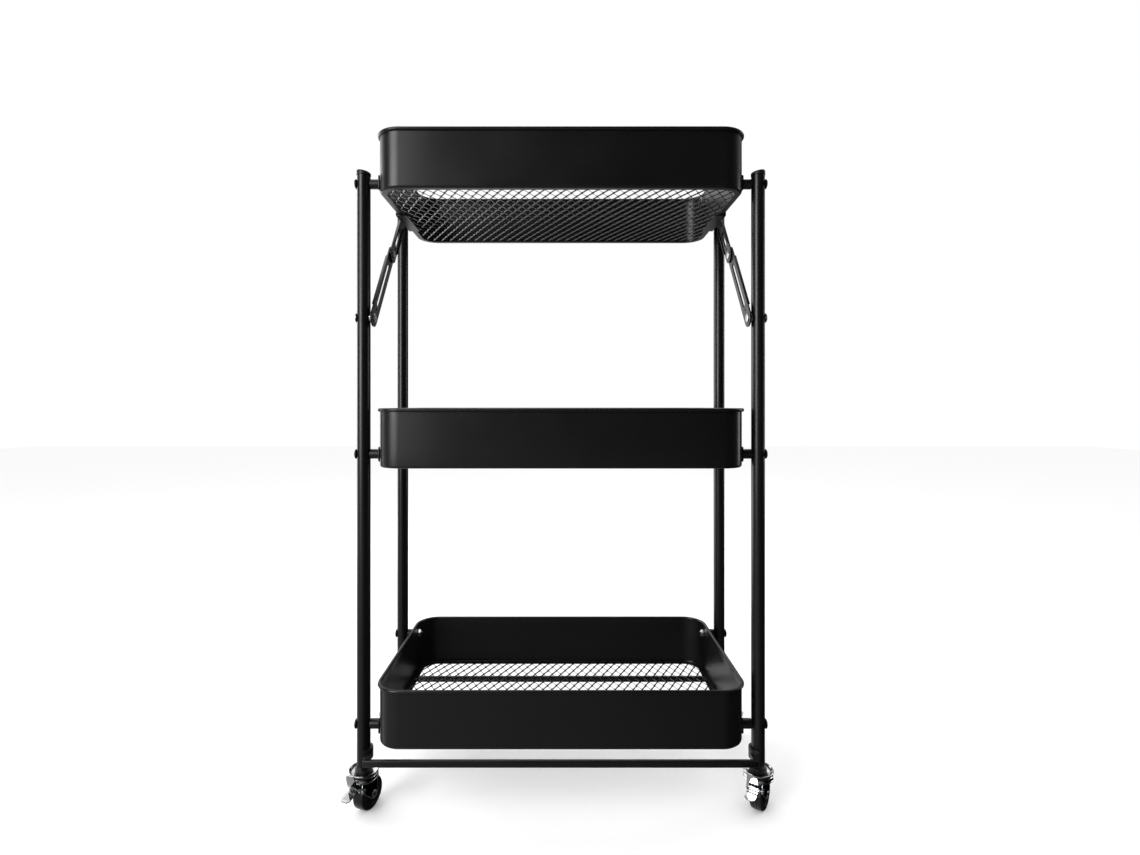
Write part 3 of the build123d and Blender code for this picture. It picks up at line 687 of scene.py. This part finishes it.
def make_sockets_and_stems(end, plastic, chrome):
    """The tube plugs with their flared lips, the turned stems with dished cups, and a dark plastic ring in each race
    groove as painted shade.
    """
    low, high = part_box(f"{end}_caster_sockets")
    stem_low, stem_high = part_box(f"{end}_caster_stems")
    lip = high.x - POST_X
    cup = stem_high.x - POST_X
    floor, rim_top = low.z, low.z + 2.4 * MM
    underside, rim_bottom = floor - 1.2 * MM, rim_top - 1.6 * MM
    king = stem_low.z
    sockets, stems, groove_shade_rings = bmesh.new(), bmesh.new(), bmesh.new()
    for side in SIDES.values():
        base = Matrix.Translation((side * POST_X, POST_Y[end], 0))
        flare = arc((lip, POST_BOTTOM), 1.6 * MM, 180, 262, 8)
        lathe(sockets, [(4.02 * MM, floor), (lip - 0.4 * MM, floor), (lip, floor + 0.4 * MM),
                        (lip, POST_BOTTOM - 1.6 * MM), *flare[::-1], (6.4 * MM, POST_BOTTOM),
                        (6.4 * MM, high.z - 1 * MM), (5.6 * MM, high.z), (4.02 * MM, high.z), (4.02 * MM, floor)],
              base)
        rim = arc((cup - 0.6 * MM, rim_bottom + 0.6 * MM), 0.6 * MM, -90, 0, 5)
        rim += arc((cup - 0.7 * MM, rim_top - 0.7 * MM), 0.7 * MM, 0, 150, 8)
        profile = [(0, king), (4 * MM, king), (4.5 * MM, king + 0.4 * MM), (4.5 * MM, king + 1.2 * MM),
                   (3 * MM, king + 1.2 * MM), (3 * MM, underside), (13.9 * MM, underside),
                    (14.4 * MM, underside + 0.2 * MM),
                   (15.8 * MM, rim_bottom), *rim, (13.5 * MM, floor + 0.3 * MM), (13 * MM, floor), (4 * MM, floor),
                   (4 * MM, stem_high.z - 0.6 * MM), (3.4 * MM, stem_high.z), (0, stem_high.z)]
        lathe(stems, profile, base, 64)
        # painted shade: a dark ring set in the groove between the fork cap and the cup, standing for the shadow in
        # that gap
        lathe(groove_shade_rings, [(13 * MM, underside - 0.25 * MM), (15.4 * MM, underside - 0.25 * MM),
                      (15.7 * MM, underside + 0.2 * MM),
                      (15.7 * MM, rim_bottom - 0.1 * MM), (15 * MM, rim_bottom - 0.1 * MM),
                      (13 * MM, underside - 0.25 * MM)],
              base, 64)
    mesh = mesh_from(f"{end}_moulded_sockets", sockets, weld=False)
    finish_piece(f"{end}_moulded_sockets", mesh, plastic, f"{end}_frame",
                 [f"{end}_caster_sockets"], 40)
    mesh = mesh_from(f"{end}_turned_stems", stems, weld=False)
    finish_piece(f"{end}_turned_stems", mesh, chrome, f"{end}_frame", [f"{end}_caster_stems"], 40)
    mesh = mesh_from(f"{end}_race_groove_shades", groove_shade_rings, weld=False)
    finish_piece(f"{end}_race_groove_shades", mesh, plastic, f"{end}_frame", [], 40)


# ---------------------------------------------------------------- folding stays
def make_link(name, side_name, node, start_joint, end_point, slot_span, rise, steel):
    """A pressed strip with rolled edges, a lightening slot and a pierced boss at each end."""
    side = SIDES[side_name]
    low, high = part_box(node)
    faces = sorted((abs(low.x), abs(high.x)))
    thickness = 1.8 * MM
    inner_x = faces[0] if rise > 0 else faces[1] - thickness
    start = Vector((0, start_joint[1], start_joint[2]))
    along = Vector((0, end_point[1], end_point[2])) - start
    length = along.length
    out = Vector((side, 0, 0))
    middle = Vector((side * (inner_x + thickness / 2), start.y, start.z))
    matrix = placed(middle, out, along)
    half_width = 10 * MM
    bm = bmesh.new()
    holes = [slot_outline(*slot_span, 3 * MM), circle((0, 0), 2.6 * MM), circle((length, 0), 2.6 * MM)]
    small = slot_span[0] - 8.5 * MM
    if small > 8 * MM:
        holes.append(circle((small, 0), 1.6 * MM, 16))
    plate(bm, slot_outline(0, length, half_width), holes, thickness, 0.35 * MM, matrix)
    edge_x = faces[1] if rise > 0 else faces[0]
    for edge in (-1, 1):
        centre_y = edge * (half_width - 0.7 * MM)
        bead = rounded_box((length - 26 * MM) / 2, 0.7 * MM, 0.65 * MM, 3)
        root = inner_x + thickness / 2
        depth = abs(edge_x - root)
        bead_matrix = placed(Vector((side * (edge_x + root) / 2, start.y, start.z)), out, along)
        bead_matrix = bead_matrix @ Matrix.Translation((length / 2, centre_y, 0))
        plate(bm, bead, [], depth, 0.35 * MM, bead_matrix)
    mesh = mesh_from(name, bm, weld=False)
    return finish_piece(name, mesh, steel, node_body(node), [node], 30)


def node_body(node):
    for body, members in frame["record"]["behaviour"]["bodies"].items():
        if node in members:
            return body
    raise ValueError(node)


def make_stays(steel, zinc):
    bracket_low, bracket_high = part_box("stay_tray_brackets")
    top_floor = floor_of("top_tray")
    post_bolts = bmesh.new()
    brackets = bmesh.new()
    for side_name, side in SIDES.items():
        low = JOINTS[f"stay_lower_{side_name}_turn"]["pos_m"]
        knee = JOINTS[f"stay_knee_{side_name}"]["pos_m"]
        rivet_low, rivet_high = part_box(f"stay_tray_rivet_{side_name}")
        high = [(a + b) / 2 for a, b in zip(rivet_low, rivet_high)]
        make_link(f"stay_lower_strip_{side_name}", side_name, f"stay_lower_link_{side_name}", low, knee,
                  (22 * MM, 92 * MM), 1, steel)
        make_link(f"stay_upper_strip_{side_name}", side_name, f"stay_upper_link_{side_name}", knee, high,
                  (20 * MM, 44 * MM), -1, steel)
        out = (side, 0, 0)
        inwards = (-side, 0, 0)

        knee_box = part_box(f"stay_knee_rivet_{side_name}")
        knee_inner, knee_outer = sorted((abs(knee_box[0].x), abs(knee_box[1].x)))
        bm = bmesh.new()
        head = 1.2 * MM
        knee_out = placed((side * (knee_outer - head), knee[1], knee[2]), out)
        knee_in = placed((side * (knee_inner + head), knee[1], knee[2]), inwards)
        lathe(bm, dome(5 * MM, head), knee_out)
        lathe(bm, dome(5 * MM, head), knee_in)
        lathe(bm, [(0, 0), (2.5 * MM, 0), (2.5 * MM, knee_outer - knee_inner - 2 * head),
                   (0, knee_outer - knee_inner - 2 * head)],
              placed((side * (knee_inner + head), knee[1], knee[2]), out))
        mesh = mesh_from(f"stay_knee_domed_rivet_{side_name}", bm, weld=False)
        finish_piece(f"stay_knee_domed_rivet_{side_name}", mesh, zinc, f"stay_lower_{side_name}",
                     [f"stay_knee_rivet_{side_name}"], 40)

        tray_inner, tray_outer = sorted((abs(rivet_low.x), abs(rivet_high.x)))
        shoulder_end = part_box(f"stay_upper_link_{side_name}")
        link_inner = max(abs(shoulder_end[0].x), abs(shoulder_end[1].x)) - 1.8 * MM
        bm = bmesh.new()
        shoulder = link_inner - tray_inner
        lathe(bm, [(0, 0), (4.6 * MM, 0), (5 * MM, 0.4 * MM), (5 * MM, shoulder), (2.5 * MM, shoulder),
                   (2.5 * MM, tray_outer - tray_inner), (0, tray_outer - tray_inner)],
              placed((side * tray_inner, high[1], high[2]), out))
        mesh = mesh_from(f"stay_tray_shoulder_rivet_{side_name}", bm, weld=False)
        finish_piece(f"stay_tray_shoulder_rivet_{side_name}", mesh, zinc, f"stay_upper_{side_name}",
                     [f"stay_tray_rivet_{side_name}"], 40)

        bolt_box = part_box("stay_post_bolts")
        link_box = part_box(f"stay_lower_link_{side_name}")
        lower_inner = min(abs(link_box[0].x), abs(link_box[1].x))
        post_inside, post_outside = POST_X - POST_RADIUS, POST_X + POST_RADIUS
        head_height = bolt_box[1].x - post_outside
        lathe(post_bolts, dome(5.5 * MM, head_height, recess=2 * MM),
              placed((side * post_outside, low[1], low[2]), out))
        lathe(post_bolts, dome(5 * MM, head),
              placed((side * (lower_inner - 0.2 * MM), low[1], low[2]), inwards))
        shank_start = lower_inner - 0.2 * MM
        lathe(post_bolts, [(0, 0), (2.5 * MM, 0), (2.5 * MM, post_outside - shank_start),
                           (0, post_outside - shank_start)], placed((side * shank_start, low[1], low[2]), out))
        shoulder_start = lower_inner + 2 * MM
        lathe(post_bolts, [(2.5 * MM, 0), (4.7 * MM, 0), (5 * MM, 0.3 * MM), (5 * MM, post_inside - shoulder_start),
                           (2.5 * MM, post_inside - shoulder_start)],
              placed((side * shoulder_start, low[1], low[2]), out))

        thickness = 1.5 * MM
        half_length = (bracket_high.y - bracket_low.y) / 2
        middle_y = (bracket_high.y + bracket_low.y) / 2
        face_height = bracket_high.z - bracket_low.z
        face = [(-half_length, -face_height / 2), (half_length, -face_height / 2)]
        face += arc((half_length - 5 * MM, face_height / 2 - 5 * MM), 5 * MM, 0, 90, 6)
        face += arc((-half_length + 5 * MM, face_height / 2 - 5 * MM), 5 * MM, 90, 180, 6)
        plate(brackets, face, [circle((-half_length + 7 * MM, 0), 2 * MM, 20),
                                circle((half_length - 7 * MM, 0), 2 * MM, 20)],
              thickness, 0.35 * MM,
              placed((side * (TRAY_HALF_X + thickness / 2), middle_y, (bracket_high.z + bracket_low.z) / 2), out,
                     (0, side, 0)))
        leg = 14 * MM
        plate(brackets, rounded_box(leg / 2, half_length, 1.5 * MM, 4), [], thickness, 0.35 * MM,
              Matrix.Translation((side * (TRAY_HALF_X + thickness - leg / 2), middle_y, top_floor - thickness / 2)))
    mesh = mesh_from("stay_post_domed_bolts", post_bolts, weld=False)
    finish_piece("stay_post_domed_bolts", mesh, zinc, "front_frame", ["stay_post_bolts"], 40)
    mesh = mesh_from("stay_pressed_brackets", brackets, weld=False)
    finish_piece("stay_pressed_brackets", mesh, steel, "top_tray", ["stay_tray_brackets"], 30)


# ---------------------------------------------------------------- casters
def caster_matrix(corner):
    """The caster's own frame: x along the axle, y along the trail, z up from the floor."""
    swivel = JOINTS[f"{corner}_swivel"]["pos_m"]
    axle = JOINTS[f"{corner}_roll"]["axis"]
    return placed((swivel[0], swivel[1], 0), (0, 0, 1), axle)


TRAIL, WHEEL_RADIUS, WHEEL_HALF = 7 * MM, 18 * MM, 7 * MM
LEG_INNER, LEG_SHEET = 7.8 * MM, 1.4 * MM
LEVER_PIN = (-10.6 * MM, 30.7 * MM)
FORK_TOP, FORK_SKIRT = 44.6 * MM, 5.3 * MM
RACE_RADIUS = 16.5 * MM


def wheel_side(base, offset):
    """A plane across the axle: local x along the trail, local y up, local z along the axle."""
    return base @ Matrix(((0, 0, 1, offset), (1, 0, 0, 0), (0, 1, 0, 0), (0, 0, 0, 1)))


def make_wheel(corner, base, plastic):
    """A moulded wheel: crowned tread with two grooves, dished faces, a hub boss and ribs."""
    bm = bmesh.new()
    axle = wheel_side(base, 0) @ Matrix.Translation((TRAIL, WHEEL_RADIUS, 0))
    tread = []
    for i in range(13):
        share = -1 + i / 6
        crown = 0.25 * MM * share * share
        groove = 0.35 * MM if i in (4, 8) else 0
        tread.append((WHEEL_RADIUS - crown - groove, share * (WHEEL_HALF - 1.8 * MM)))
    shoulder_low = arc((WHEEL_RADIUS - 2.05 * MM, -WHEEL_HALF + 1.8 * MM), 1.8 * MM, -90, -10, 6)
    shoulder_high = arc((WHEEL_RADIUS - 2.05 * MM, WHEEL_HALF - 1.8 * MM), 1.8 * MM, 10, 90, 6)
    dish = WHEEL_HALF - 1.5 * MM
    bore = 2.56 * MM
    profile = [(bore, -WHEEL_HALF), (4.7 * MM, -WHEEL_HALF), (5 * MM, -WHEEL_HALF + 0.3 * MM), (5.3 * MM, -dish),
               (12.1 * MM, -dish), (12.7 * MM, -WHEEL_HALF + 0.2 * MM), *shoulder_low, *tread, *shoulder_high,
               (12.7 * MM, WHEEL_HALF - 0.2 * MM), (12.1 * MM, dish), (5.3 * MM, dish),
               (5 * MM, WHEEL_HALF - 0.3 * MM), (4.7 * MM, WHEEL_HALF), (bore, WHEEL_HALF), (bore, -WHEEL_HALF)]
    lathe(bm, profile, axle, 64)
    for face in (-1, 1):
        for spoke in range(8):
            turn = Matrix.Rotation(2 * pi * spoke / 8, 4, "Z")
            rib = rounded_box(3.6 * MM, 0.5 * MM, 0.2 * MM, 2)
            plate(bm, rib, [], 1.1 * MM, 0.2 * MM,
                  axle @ turn @ Matrix.Translation((8.7 * MM, 0, face * (dish + 0.5 * MM))))
    mesh = mesh_from(f"{corner}_moulded_wheel", bm, weld=False)
    finish_piece(f"{corner}_moulded_wheel", mesh, plastic, f"{corner}_wheel",
                 [f"{corner}_caster_wheel"], 35)


def make_fork(corner, base, chrome):
    """The fork: a pressed cap with a beaded skirt, and a flared leg down each side of the wheel."""
    bm = bmesh.new()
    bottom = FORK_TOP - FORK_SKIRT
    under = FORK_TOP - 1.8 * MM
    shoulder = arc((RACE_RADIUS - 1.9 * MM, FORK_TOP - 1.6 * MM), 1.6 * MM, 0, 90, 8)
    bead = arc((RACE_RADIUS - 0.7 * MM, bottom + 0.7 * MM), 0.7 * MM, -90, 70, 7)
    profile = [(3.1 * MM, under), (RACE_RADIUS - 1.6 * MM, under), (RACE_RADIUS - 1.6 * MM, bottom), *bead,
               (RACE_RADIUS - 0.3 * MM, bottom + 1.7 * MM), *shoulder, (12.2 * MM, FORK_TOP),
               (11 * MM, FORK_TOP - 0.3 * MM), (3.1 * MM, FORK_TOP - 0.3 * MM), (3.1 * MM, under)]
    lathe(bm, profile, base, 64)
    leg = [(-12.8 * MM, under + 0.6 * MM), (-12.8 * MM, bottom - 0.5 * MM)]
    leg += arc(LEVER_PIN, 3.2 * MM, 170, 250, 6)
    leg += arc((TRAIL, WHEEL_RADIUS), 5.3 * MM, 225, 355, 12)
    leg += [(13.1 * MM, bottom - 1 * MM), (13.1 * MM, under + 0.6 * MM)]
    holes = [circle((TRAIL, WHEEL_RADIUS), 2.5 * MM, 24), circle(LEVER_PIN, 1.5 * MM, 16)]
    for hand in (-1, 1):
        middle = hand * (LEG_INNER + LEG_SHEET / 2)
        plate(bm, leg, holes, LEG_SHEET, 0.4 * MM, wheel_side(base, middle))
    mesh = mesh_from(f"{corner}_pressed_fork", bm, weld=False)
    finish_piece(f"{corner}_pressed_fork", mesh, chrome, f"{corner}_fork", [f"{corner}_caster_fork"], 35)


def make_caster_rivets(corner, base, zinc):
    bm = bmesh.new()
    outside = LEG_INNER + LEG_SHEET
    for (along, up), radius, head_radius in (((TRAIL, WHEEL_RADIUS), 2.5 * MM, 4 * MM),
                                             (LEVER_PIN, 1.5 * MM, 2.5 * MM)):
        for hand in (-1, 1):
            seat = wheel_side(base, hand * outside) @ Matrix.Translation((along, up, 0))
            if hand < 0:
                seat = seat @ Matrix.Rotation(pi, 4, "X")
            lathe(bm, dome(head_radius, 1.2 * MM), seat, 32)
        shank = wheel_side(base, -outside) @ Matrix.Translation((along, up, 0))
        lathe(bm, [(0, 0), (radius, 0), (radius, 2 * outside), (0, 2 * outside)], shank, 32)
    mesh = mesh_from(f"{corner}_headed_rivets", bm, weld=False)
    finish_piece(f"{corner}_headed_rivets", mesh, zinc, f"{corner}_fork", [f"{corner}_caster_rivets"], 40)


def sheet_strip(bm, line, widths, thickness, base):
    """A bent strip of sheet: a line of (trail, up) points, with a half-width at each."""
    rows = []
    for index, (point, half) in enumerate(zip(line, widths)):
        before = Vector(line[max(index - 1, 0)])
        after = Vector(line[min(index + 1, len(line) - 1)])
        tangent = (after - before).normalized()
        normal = Vector((-tangent.y, tangent.x)) * thickness / 2
        centre = Vector(point)
        row = []
        for out, sign in ((-half, -1), (half, -1), (half, 1), (-half, 1)):
            spot = centre + normal * sign
            row.append(bm.verts.new(base @ Vector((out, spot.x, spot.y))))
        rows.append(row)
    for first, second in zip(rows, rows[1:]):
        for i in range(4):
            j = (i + 1) % 4
            bm.faces.new((first[i], first[j], second[j], second[i]))
    bm.faces.new(rows[0][::-1])
    bm.faces.new(rows[-1])


def make_brake_lever(corner, base, chrome):
    """The rocker: a rolled hub, a pedal with rounded tip and pressed ribs, and a release tab past the race."""
    bm = bmesh.new()
    half = 6 * MM
    hub = wheel_side(base, -half) @ Matrix.Translation((*LEVER_PIN, 0))
    lathe(bm, [(1.56 * MM, 0), (2.6 * MM, 0), (2.85 * MM, 0.3 * MM), (2.85 * MM, 2 * half - 0.3 * MM),
               (2.6 * MM, 2 * half), (1.56 * MM, 2 * half), (1.56 * MM, 0)], hub, 32)
    pedal_y, pedal_z = -32.8 * MM, 30 * MM
    root = (LEVER_PIN[0] - 1.2 * MM, LEVER_PIN[1] + 1.9 * MM)
    line, widths = [], []
    steps = 16
    for i in range(steps + 1):
        share = i / steps
        y = root[0] + (pedal_y - root[0]) * share
        z = root[1] + (pedal_z - root[1]) * share + 0.7 * MM * sin(pi * share)
        line.append((y, z))
        tip = max(0, share - 0.8) / 0.2
        widths.append(half * (1 - 0.42 * tip ** 2.4))
    sheet_strip(bm, line, widths, 1.3 * MM, base)
    for rib in (-2.6 * MM, 0, 2.6 * MM):
        stations = [line[index] for index in range(7, 15)]
        raised = [(y, z + 0.75 * MM) for y, z in stations]
        tapers = [0.15 * MM] + [0.45 * MM] * (len(raised) - 2) + [0.15 * MM]
        sheet_strip(bm, raised, tapers, 0.5 * MM, base @ Matrix.Translation((rib, 0, 0)))
    tab_line = [root, (-15 * MM, 34.2 * MM), (-17.8 * MM, 36.4 * MM), (-19 * MM, 38.4 * MM), (-20.1 * MM, 42.6 * MM),
                (-21.2 * MM, 46.8 * MM), (-22.2 * MM, 50.4 * MM), (-22.7 * MM, 52.6 * MM)]
    sheet_strip(bm, tab_line, [half, half, half, half, half, half, half * 0.9, half * 0.66], 1.2 * MM, base)
    mesh = mesh_from(f"{corner}_pressed_brake_lever", bm, weld=False)
    finish_piece(f"{corner}_pressed_brake_lever", mesh, chrome, f"{corner}_brake",
                 [f"{corner}_caster_brake_lever"], 35)


def make_casters(plastic, chrome, zinc):
    for corner in ("front_left", "front_right", "rear_left", "rear_right"):
        base = caster_matrix(corner)
        make_wheel(corner, base, plastic)
        make_fork(corner, base, chrome)
        make_caster_rivets(corner, base, zinc)
        make_brake_lever(corner, base, chrome)


# ---------------------------------------------------------------- the whole cart
add_camera()
add_stage()
steel = powder_coat("black_powder_coat", (0.002, 0.002, 0.0022), (0.012, 0.012, 0.0125), 0.32)
grille_steel = powder_coat("black_grille_coat", (0.004, 0.004, 0.0042), (0.03, 0.03, 0.031), 0.25)
chrome = plated_metal("bright_chrome", (0.86, 0.87, 0.88), 0.08, 0.05)
zinc = plated_metal("dull_zinc", (0.7, 0.71, 0.72), 0.24, 0.12)
plastic = moulded_plastic("black_moulding", (0.004, 0.004, 0.0043), 0.4, 0.15)
wheel_plastic = moulded_plastic("black_wheel", (0.004, 0.004, 0.0042), 0.36, 0.1)

for tray in TRAYS:
    make_tray_shell(tray, steel)
    make_mesh_floor(tray, grille_steel)
    make_tray_hardware(tray, steel, zinc)
for end in ENDS:
    for side_name in SIDES:
        make_post(end, side_name, steel)
    make_caps(end, plastic)
    make_rail(end, steel)
    make_clips(end, plastic)
    make_sockets_and_stems(end, plastic, chrome)
make_stays(steel, zinc)
make_casters(wheel_plastic, chrome, zinc)
